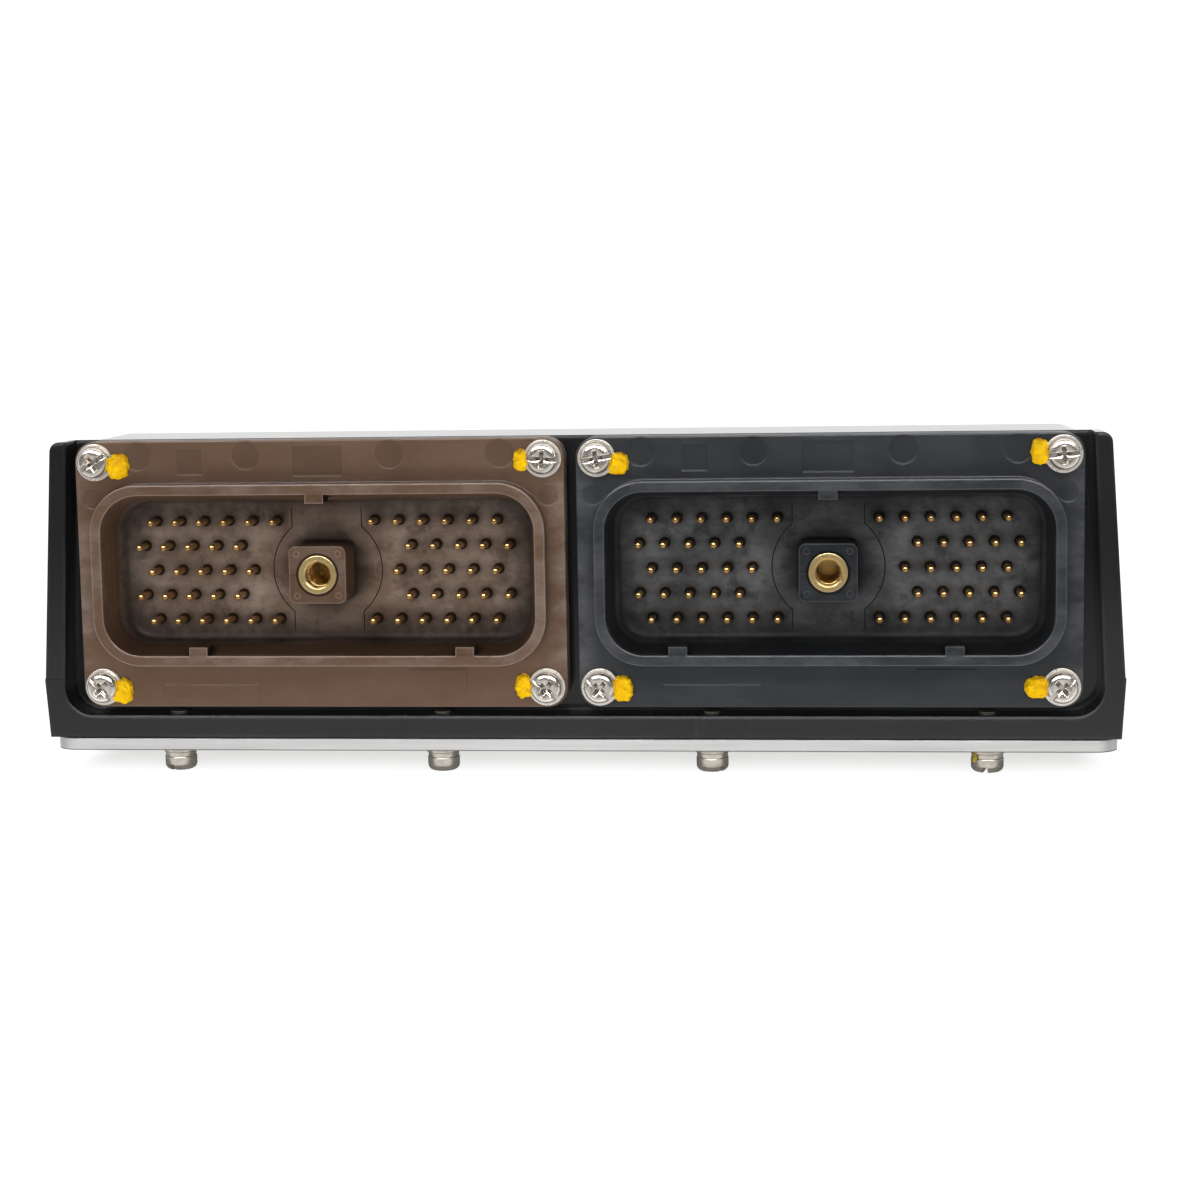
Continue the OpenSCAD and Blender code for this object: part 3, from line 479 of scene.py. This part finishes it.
def plate_finish(name, settings):
    """Rolled bare sheet with streaks along its length and a painted dark reflection at its lower edge.
    """
    finish = Finish(name)
    soft, edges = finish.soft_edges(0.25 * MM)
    streaks = finish.noise(0.6 * MM, detail=4, stretch=(0.03, 1, 1))
    cloud = finish.noise(18 * MM, detail=4)
    base = finish.mix(
        streaks * 0.7 + cloud * 0.3, shade(settings.plate, 0.72), shade(settings.plate, 1.18))
    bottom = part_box("base_plate")[0].z
    facing = finish.node("ShaderNodeSeparateXYZ", inputs={0: finish.sharp_normal()}, output="Z")
    # Painted dark reflection along the lower edge of the plate, but not on its underside.
    dark_edge_reflection = finish.step(finish.axis("Z"), bottom + 0.22 * MM, bottom + 0.1 * MM)
    dark_edge_reflection = dark_edge_reflection * finish.step(facing, -0.6, -0.3)
    base = finish.mix(dark_edge_reflection * 0.85, base, shade(settings.plate, 0.12))
    return finish.surface(
        base_color=base, metallic=0.3, roughness=0.42 + streaks * 0.16 + edges * 0.1,
        normal=finish.bump(streaks, 0.01 * MM, soft))


def dull_finish(name, tint, roughness, lump=1.2 * MM, depth=0.02 * MM):
    """Matt rubber, laminate or ceramic with a mottled surface."""
    finish = Finish(name)
    mottle = finish.noise(lump, detail=4)
    cloud = finish.noise(9 * MM, detail=3)
    base = finish.mix(mottle * 0.5 + cloud * 0.5, shade(tint, 0.8), shade(tint, 1.2))
    return finish.surface(
        base_color=base, roughness=roughness + mottle * 0.15, normal=finish.bump(mottle, depth))


def lacquer_finish(name, tint):
    """Thick brushed paint, deeper in colour where it is thick, and darker and olive close to the floor.
    """
    finish = Finish(name)
    brush = finish.noise(0.7 * MM, detail=3, stretch=(1, 1, 0.35))
    pools = finish.noise(1.5 * MM, detail=3)
    base = finish.mix(finish.step(pools, 0.35, 0.7), tint, (tint[0] * 0.92, tint[1] * 0.8, tint[2]))
    base = finish.mix(finish.step(brush, 0.55, 0.75) * 0.4, base, (tint[0], tint[1] * 1.2, tint[2] * 2))
    # Darker and olive close to the floor.
    low = finish.step(finish.axis("Z"), CAD_LOW.z + 6 * MM, CAD_LOW.z + 4 * MM)
    base = finish.mix(low * (0.65 + pools * 0.3), base, (0.2, 0.17, 0.045))
    return finish.surface(
        base_color=base, roughness=0.5 + brush * 0.2, ior=1.4, normal=finish.bump(brush, 0.08 * MM))


def wear(node, finish):
    """Gives a CAD node its finish."""
    mesh = NODES[node].data
    mesh.materials.clear()
    mesh.materials.append(finish)


# Modelling by hand: pieces are made in millimetres and brought to size at the end

def deselect():
    """Selects nothing, so that the next operator works on its own piece only."""
    bpy.ops.object.select_all(action="DESELECT")


def edit():
    bpy.ops.object.mode_set(mode="EDIT")


def leave_edit():
    bpy.ops.object.mode_set(mode="OBJECT")


def pick_faces(piece, wanted):
    """Selects the faces, in edit mode, whose normal is wanted."""
    bpy.ops.mesh.select_mode(type="FACE")
    bpy.ops.mesh.select_all(action="DESELECT")
    leave_edit()
    for face in piece.data.polygons:
        face.select = wanted(face.normal)
    edit()


def pick_edges(piece, wanted):
    """Selects the edges, in edit mode, whose two ends are wanted."""
    bpy.ops.mesh.select_mode(type="EDGE")
    bpy.ops.mesh.select_all(action="DESELECT")
    leave_edit()
    points = piece.data.vertices
    for line in piece.data.edges:
        line.select = all(wanted(points[i].co) for i in line.vertices)
    edit()


def apply_modifier(piece, kind, **settings):
    """Adds a modifier with its settings and applies it."""
    bpy.context.view_layer.objects.active = piece
    modifier = piece.modifiers.new(kind.lower(), kind)
    for key, value in settings.items():
        setattr(modifier, key, value)
    bpy.ops.object.modifier_apply(modifier=modifier.name)


def cut_away(piece, cutter):
    """Cuts one piece out of another and removes the cutter."""
    apply_modifier(piece, "BOOLEAN", operation="DIFFERENCE", solver="EXACT", object=cutter)
    bpy.data.objects.remove(cutter)


def settle(piece):
    """Puts the place of a piece into its mesh."""
    deselect()
    piece.select_set(True)
    bpy.context.view_layer.objects.active = piece
    bpy.ops.object.transform_apply(location=True, rotation=True, scale=True)


def copy_of(piece):
    """Copy of a piece with its own mesh."""
    deselect()
    piece.select_set(True)
    bpy.context.view_layer.objects.active = piece
    bpy.ops.object.duplicate(linked=False)
    return bpy.context.object


def joined(pieces, name, angle=35):
    """Joins pieces in one, in metres, with smooth faces and sharp corners."""
    deselect()
    for piece in pieces:
        piece.select_set(True)
    bpy.context.view_layer.objects.active = pieces[0]
    if len(pieces) > 1:
        bpy.ops.object.join()
    whole = bpy.context.object
    whole.name = name
    whole.data.name = name
    settle(whole)
    bpy.ops.object.shade_smooth_by_angle(angle=math.radians(angle))
    return whole


def dress(piece, slot, finish, *nodes):
    """Finishes a new piece, lets it ride on the unit and hides the CAD nodes that it stands in for."""
    piece.data.materials.clear()
    piece.data.materials.append(finish)
    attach(piece, BODY)
    if nodes:
        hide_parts(*nodes)


def screw_places(edge):
    """Places of the header screws on the flange fronts, left header first, row by row."""
    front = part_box("header_washers")[1].y
    places = []
    for node in HEADERS:
        low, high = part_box(node)
        middle = (low + high) / 2
        half = (high - low) / 2
        for across, up in CORNERS:
            places.append(Vector((
                middle.x + across * (half.x - edge), front, middle.z + up * (half.z - edge))))
    return places


# Operators, one for each piece or group of like pieces

class UNIT_OT_case(Operator):
    """Finish the cast case, its base plate and its seals"""

    bl_idname = "unit.case"
    bl_label = "Case"

    def execute(self, context):
        settings = context.scene.unit_case
        wear("housing", case_finish("case paint", settings))
        wear("base_plate", plate_finish("plate metal", settings))
        rubber = dull_finish("seal rubber", settings.rubber, 0.62)
        for node in ("base_seal", "header_seal_left", "header_seal_right"):
            wear(node, rubber)
        return {"FINISHED"}


class UNIT_OT_headers(Operator):
    """Finish the two moulded headers and their pins"""

    bl_idname = "unit.headers"
    bl_label = "Headers"

    def execute(self, context):
        settings = context.scene.unit_headers
        wear("header_left", moulded_finish(
            "brown moulding", settings.brown, settings.worn_and_highlight_brown, settings.brown_dust, settings,
            "header_left"))
        wear("header_right", moulded_finish(
            "black moulding", settings.black, settings.worn_and_highlight_black, settings.black_dust, settings,
            "header_right"))
        pins = metal_finish(
            "plated pin", settings.pin, 0.15, 0.3 * MM, 0.1 * MM, dirt=0.4, metallic=0.8)
        wear("contacts_left", pins)
        wear("contacts_right", pins)
        return {"FINISHED"}


class UNIT_OT_inserts(Operator):
    """Finish the threaded inserts and cut their threads"""

    bl_idname = "unit.inserts"
    bl_label = "Jackscrew inserts"

    def execute(self, context):
        settings = context.scene.unit_headers
        brass = metal_finish(
            "turned brass", settings.brass, 0.2, 0.25 * MM, 0.2 * MM, metallic=0.85)
        mounts = {mount["name"]: mount for mount in frame["record"]["mounts"]}
        for side in ("left", "right"):
            wear(f"jack_insert_{side}", brass)
            mount = mounts[f"jackscrew_{side}"]
            pieces = self.thread(
                mount["dims"]["r_mm"], mount["dims"]["length_mm"],
                settings.thread_pitch / MM, settings.thread_height / MM)
            for piece in pieces:
                settle(piece)
                piece.scale = (MM, MM, MM)
                piece.rotation_euler = (math.pi / 2, 0, 0)
                piece.location = Vector(mount["pos_m"])
            dress(joined(pieces, f"insert_thread_{side}"), "insert_brass", brass)
        return {"FINISHED"}

    def thread(self, bore_r, bore_length, pitch, height):
        """Helical ridge down the bore, from below its mouth, and the closed end of the bore."""
        deselect()
        bpy.ops.mesh.primitive_circle_add(
            vertices=4, radius=1, fill_type="NOTHING", location=(bore_r, 0, -2 * pitch),
            rotation=(math.pi / 2, 0, 0))
        thread = bpy.context.object
        thread.scale = (height, 0.42 * pitch, 1)
        settle(thread)
        turns = int(bore_length / pitch) - 4
        apply_modifier(
            thread, "SCREW", axis="Z", angle=2 * math.pi, screw_offset=-pitch,
            iterations=turns, steps=32, render_steps=32, use_smooth_shade=False)
        edit()
        bpy.ops.mesh.select_mode(type="VERT")
        bpy.ops.mesh.select_all(action="SELECT")
        bpy.ops.mesh.remove_doubles(threshold=0.0005)
        bpy.ops.mesh.select_all(action="DESELECT")
        bpy.ops.mesh.select_non_manifold()
        bpy.ops.mesh.fill_holes(sides=0)
        bpy.ops.mesh.select_all(action="SELECT")
        bpy.ops.mesh.normals_make_consistent(inside=False)
        leave_edit()
        deselect()
        bpy.ops.mesh.primitive_cylinder_add(
            vertices=48, radius=bore_r, depth=0.1, location=(0, 0, 0.05 - bore_length))
        return thread, bpy.context.object


class UNIT_OT_header_screws(Operator):
    """Model the header screws with a slot and a cross in their heads"""

    bl_idname = "unit.header_screws"
    bl_label = "Header screws"

    def execute(self, context):
        settings = context.scene.unit_fixings
        low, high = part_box("header_screws")
        washer_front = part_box("header_washers")[0].y
        pattern = self.screw(settings, (washer_front - low.y) / MM, (high.y - washer_front) / MM)
        screws = []
        for place, turn in zip(screw_places(settings.screw_edge), settings.turns):
            screw = copy_of(pattern)
            screw.scale = (MM, MM, MM)
            screw.rotation_euler = (math.pi / 2, turn, 0)
            screw.location = (place.x, washer_front, place.z)
            screws.append(screw)
        bpy.data.objects.remove(pattern)
        nickel = metal_finish(
            "nickel plate", settings.nickel, 0.12, 0.2 * MM, 0.12 * MM,
            dirt=0.95, reach=0.7 * MM, metallic=0.92)
        dress(joined(screws, "header_screw_set", 40), "header_screw_nickel", nickel, "header_screws")
        wear("header_washers", metal_finish(
            "dull nickel plate", settings.nickel, 0.2, 0.2 * MM, 0.12 * MM,
            dirt=0.95, reach=0.45 * MM, metallic=0.7))
        return {"FINISHED"}

    def screw(self, settings, head_h, shank_length):
        """Pan head standing on z = 0 with its recess upwards and its shank below."""
        head_r = settings.head_diameter / 2 / MM
        shank_r = settings.shank_diameter / 2 / MM
        slot_w = settings.slot_width / MM
        cross = settings.cross_length / MM
        deselect()
        bpy.ops.mesh.primitive_cylinder_add(
            vertices=64, radius=head_r, depth=head_h, location=(0, 0, head_h / 2))
        screw = bpy.context.object
        settle(screw)
        edit()
        pick_edges(screw, lambda point: point.z > head_h * 0.99)
        bpy.ops.mesh.bevel(offset=head_h * 0.5, offset_type="OFFSET", segments=8, profile=0.5)
        pick_faces(screw, lambda normal: normal.z < -0.9)
        bpy.ops.mesh.inset(thickness=head_r - shank_r)
        bpy.ops.mesh.extrude_region_move(TRANSFORM_OT_translate={"value": (0, 0, -shank_length)})
        leave_edit()
        cut_away(screw, self.groove((2.4 * head_r, slot_w), head_h, 0.42 * head_h, 0.9))
        for size in ((cross, slot_w), (slot_w, cross)):
            cut_away(screw, self.groove(size, head_h, 0.8 * head_h, 0.5))
        apply_modifier(screw, "BEVEL", width=0.06, segments=2, limit_method="ANGLE",
                       angle_limit=math.radians(38))
        return screw

    def groove(self, size, top, depth, taper):
        """Cutter for a groove that narrows towards its bottom."""
        deselect()
        bpy.ops.mesh.primitive_cube_add(
            size=1, location=(0, 0, top - depth / 2 + 0.25), scale=(size[0], size[1], depth + 0.5))
        cutter = bpy.context.object
        settle(cutter)
        edit()
        pick_faces(cutter, lambda normal: normal.z < -0.9)
        bpy.ops.transform.resize(value=(taper, taper, 1))
        leave_edit()
        return cutter


class UNIT_OT_base_screws(Operator):
    """Finish the base screws and their washers"""

    bl_idname = "unit.base_screws"
    bl_label = "Base screws"

    def execute(self, context):
        settings = context.scene.unit_fixings
        zinc = metal_finish(
            "zinc plate", settings.zinc, 0.15, 0.8 * MM, 0.2 * MM,
            dirt=0.95, reach=0.6 * MM, metallic=0.85)
        for node in ("base_screws", "base_lock_washers", "base_washers", "board_screws"):
            wear(node, zinc)
        return {"FINISHED"}


class UNIT_OT_witness_paint(Operator):
    """Model the dabs of paint that mark the tightened screws"""

    bl_idname = "unit.witness_paint"
    bl_label = "Witness paint"

    # Each dab's place beside its screw and its width and height, in millimetres,
    # in the order of the screws
    DABS = (
        ((3.9, -0.7), (4.0, 4.2)), ((-3.6, -0.2), (2.6, 3.6)),
        ((3.0, -0.7), (4.1, 4.3)), ((-3.9, 0.1), (2.9, 4.1)),
        ((3.5, -0.9), (3.7, 3.7)), ((-3.7, 0.4), (3.0, 4.2)),
        ((3.7, -0.25), (3.6, 4.4)), ((-3.9, -0.1), (4.2, 3.6)),
    )

    # Place of the thin smear on the side of a front base screw, and its width and height,
    # in millimetres
    SMEAR = ((66.5, -71.0, 2.5), (0.9, 1.6))

    def execute(self, context):
        settings = context.scene.unit_fixings
        lumps = bpy.data.textures.new("paint lumps", "CLOUDS")
        lumps.noise_scale = 0.8
        lumps.noise_depth = 2
        height = settings.paint_height / MM
        dabs = []
        for place, (shift, size) in zip(screw_places(settings.screw_edge), self.DABS):
            centre = place / MM + Vector((shift[0], 0, shift[1]))
            dabs.append(self.dab(centre, size, height, lumps))
        centre, size = self.SMEAR
        dabs.append(self.dab(Vector(centre), size, 0.6 * height, lumps))
        lacquer = lacquer_finish("witness lacquer", settings.paint)
        dress(joined(dabs, "paint_dabs", 60), "witness_yellow", lacquer, "witness_paint")
        return {"FINISHED"}

    def dab(self, centre, size, height, lumps):
        """Lumpy drop of paint, flat where it lies on the flange."""
        deselect()
        bpy.ops.mesh.primitive_ico_sphere_add(
            subdivisions=5, radius=1, location=centre, scale=(size[0] / 2, height, size[1] / 2))
        dab = bpy.context.object
        apply_modifier(dab, "CAST", cast_type="CUBOID", factor=0.25)
        settle(dab)
        apply_modifier(dab, "DISPLACE", texture=lumps, texture_coords="LOCAL",
                       direction="NORMAL", strength=0.8, mid_level=0.5)
        edit()
        bpy.ops.mesh.select_all(action="SELECT")
        bpy.ops.mesh.bisect(
            plane_co=(0, centre.y - 0.01, 0), plane_no=(0, 1, 0), use_fill=True, clear_outer=True)
        leave_edit()
        dab.scale = (MM, MM, MM)
        settle(dab)
        return dab


class UNIT_OT_electronics(Operator):
    """Finish the circuit board and the parts on it"""

    bl_idname = "unit.electronics"
    bl_label = "Electronics"

    def execute(self, context):
        chip = dull_finish("chip moulding", (0.02, 0.02, 0.022), 0.5, 0.3 * MM, 0.01 * MM)
        finishes = {
            "circuit_board": dull_finish("solder resist", (0.02, 0.14, 0.06), 0.3),
            "crystal": metal_finish("drawn can", (0.6, 0.6, 0.6), 0.25, 0.3 * MM, 0.2 * MM),
            "storage_capacitors": dull_finish("capacitor sleeve", (0.03, 0.04, 0.12), 0.3),
            "thermal_pads": dull_finish("soft pad", (0.5, 0.3, 0.35), 0.7),
            "filter_capacitors": dull_finish("fired ceramic", (0.4, 0.28, 0.16), 0.5),
            "power_inductor": dull_finish("ferrite core", (0.06, 0.06, 0.065), 0.55),
        }
        for node in ("processor", "memory_chips", "transceivers", "voltage_regulator",
                     "driver_transistors", "chip_resistors", "surge_suppressors"):
            finishes[node] = chip
        for node, finish in finishes.items():
            wear(node, finish)
        return {"FINISHED"}


class UNIT_OT_stage(Operator):
    """Set up the floor, the light and the camera"""

    bl_idname = "unit.stage"
    bl_label = "Stage"

    # Place and size of each light, in metres
    KEY = ((0.0, -0.56, 0.025), (0.5, 0.04))
    TABLE = ((0.0, -0.47, -0.19), (0.7, 0.2))
    BACK = ((-0.1, 0.7, 0.9), (1.2, 0.8))

    def execute(self, context):
        settings = context.scene.unit_stage
        self.floor(settings)
        self.world(context.scene, settings)
        self.light("low key light", settings.key_power, *self.KEY)
        self.light("table light", settings.table_power, *self.TABLE)
        self.light("back light", settings.back_power, *self.BACK)
        self.camera(context.scene, settings)
        context.scene.view_settings.view_transform = "Standard"
        return {"FINISHED"}

    def seen_directly(self, finish):
        """1 where the camera sees the background, also through something clear, otherwise 0."""
        return finish.math(
            "MAXIMUM", finish.node("ShaderNodeLightPath", output="Is Camera Ray"),
            finish.node("ShaderNodeLightPath", output="Is Transmission Ray"))

    def floor(self, settings):
        """Plane under the unit that lets the table light through."""
        deselect()
        bpy.ops.mesh.primitive_plane_add(size=settings.floor_size, location=(0, 0, CAD_LOW.z))
        floor = bpy.context.object
        floor.name = "floor"
        floor.visible_shadow = False
        settle(floor)
        floor.data.materials.append(self.floor_finish("pale floor"))

    def floor_finish(self, name):
        """White with the unit's shadow, real and painted; shiny pieces mirror it darker far off and
        under the unit.
        """
        finish = Finish(name)
        along = finish.axis("Y")
        under = finish.step(finish.math("ABSOLUTE", finish.axis("X")), CAD_HIGH.x, CAD_HIGH.x - 8 * MM)
        under = under * finish.step(finish.math("ABSOLUTE", along), CAD_HIGH.y, CAD_HIGH.y - 4 * MM)
        tone = finish.mix(finish.noise(0.4, detail=2), grey(0.80), grey(0.83))
        lit = finish.node("ShaderNodeBsdfDiffuse", inputs={"Color": tone})
        sheen = finish.mix(finish.step(along, -0.42, -0.1), grey(0.12), grey(0.55))
        sheen = finish.mix(finish.step(along, -0.1, -0.085), sheen, grey(0.95))
        sheen = finish.mix(under, sheen, (0.13, 0.125, 0.12))
        mirrored = finish.node("ShaderNodeEmission", inputs={"Color": sheen})
        glossy = finish.node("ShaderNodeLightPath", output="Is Glossy Ray")
        unseen = finish.node("ShaderNodeMixShader", inputs={0: glossy, 1: lit, 2: mirrored})
        # Painted shadow: the glow seen by the camera turns grey in under the front of the unit.
        depth = finish.step(along, CAD_LOW.y, CAD_LOW.y + 22 * MM) * under
        glow = finish.node("ShaderNodeEmission", inputs={
            "Color": finish.mix(depth, grey(0.97), (0.66, 0.66, 0.65))})
        shadowed = finish.node("ShaderNodeBsdfDiffuse", inputs={"Color": colour(grey(0.35))})
        seen = finish.node("ShaderNodeAddShader", inputs={0: shadowed, 1: glow})
        either = finish.node("ShaderNodeMixShader", inputs={
            0: self.seen_directly(finish), 1: unseen, 2: seen})
        finish.node("ShaderNodeOutputMaterial", inputs={"Surface": either})
        return finish.holder

    def world(self, scene, settings):
        """White room; shiny pieces mirror its gloomy end behind the camera, with a soft light above."""
        scene.world = scene.world or bpy.data.worlds.new("studio")
        finish = Finish("studio", scene.world)
        toward = finish.node("ShaderNodeTexCoord", output="Generated")
        depth = finish.node("ShaderNodeSeparateXYZ", inputs={0: toward}, output="Y")
        rise = finish.node("ShaderNodeSeparateXYZ", inputs={0: toward}, output="Z")
        behind = finish.step(depth, -0.3, 0.25)
        above = finish.step(rise, 0.52, 0.6) * finish.step(rise, 0.86, 0.78)
        above = above * finish.step(depth, -0.3, -0.45)
        white, gloom, fill, lamp = [
            finish.node("ShaderNodeBackground", inputs={"Color": (1, 1, 1, 1), "Strength": strength})
            for strength in (1.0, settings.gloom, settings.fill, settings.lamp)]
        mirrored = finish.node("ShaderNodeMixShader", inputs={0: behind, 1: gloom, 2: white})
        mirrored = finish.node("ShaderNodeMixShader", inputs={0: above, 1: mirrored, 2: lamp})
        glossy = finish.node("ShaderNodeLightPath", output="Is Glossy Ray")
        unseen = finish.node("ShaderNodeMixShader", inputs={0: glossy, 1: fill, 2: mirrored})
        either = finish.node("ShaderNodeMixShader", inputs={
            0: self.seen_directly(finish), 1: unseen, 2: white})
        finish.node("ShaderNodeOutputWorld", inputs={"Surface": either})

    def light(self, name, power, place, size):
        """Soft light that looks at the unit and isn't mirrored by it."""
        deselect()
        bpy.ops.object.light_add(type="AREA", location=place)
        lamp = bpy.context.object
        lamp.name = name
        lamp.data.energy = power
        lamp.data.shape = "RECTANGLE"
        lamp.data.size, lamp.data.size_y = size
        lamp.visible_glossy = False
        lamp.visible_camera = False
        way = (CAD_LOW + CAD_HIGH) / 2 - Vector(place)
        lamp.rotation_euler = way.to_track_quat("-Z", "Y").to_euler()

    def camera(self, scene, settings):
        deselect()
        bpy.ops.object.camera_add(location=settings.camera_place, rotation=settings.camera_turn)
        camera = bpy.context.object
        camera.data.lens = settings.lens
        camera.data.sensor_width = 36
        camera.data.clip_start = 0.01
        scene.camera = camera


STEPS = (
    UNIT_OT_case, UNIT_OT_headers, UNIT_OT_inserts, UNIT_OT_header_screws, UNIT_OT_base_screws,
    UNIT_OT_witness_paint, UNIT_OT_electronics, UNIT_OT_stage,
)


class UNIT_PT_panel(Panel):
    """Steps that dress the control unit."""

    bl_idname = "UNIT_PT_panel"
    bl_label = "Control unit"
    bl_space_type = "VIEW_3D"
    bl_region_type = "UI"
    bl_category = "Control unit"

    def draw(self, context):
        for step in STEPS:
            self.layout.operator(step.bl_idname)


SETTINGS = {
    "unit_case": CaseSettings, "unit_headers": HeaderSettings,
    "unit_fixings": FixingSettings, "unit_stage": StageSettings,
}
CLASSES = (*SETTINGS.values(), *STEPS, UNIT_PT_panel)


def register():
    for cls in CLASSES:
        bpy.utils.register_class(cls)
    for name, group in SETTINGS.items():
        setattr(bpy.types.Scene, name, PointerProperty(type=group))


def unregister():
    for name in SETTINGS:
        delattr(bpy.types.Scene, name)
    for cls in reversed(CLASSES):
        bpy.utils.unregister_class(cls)


def main():
    register()
    bpy.ops.unit.case()
    bpy.ops.unit.headers()
    bpy.ops.unit.inserts()
    bpy.ops.unit.header_screws()
    bpy.ops.unit.base_screws()
    bpy.ops.unit.witness_paint()
    bpy.ops.unit.electronics()
    bpy.ops.unit.stage()


if __name__ == "__main__":
    main()
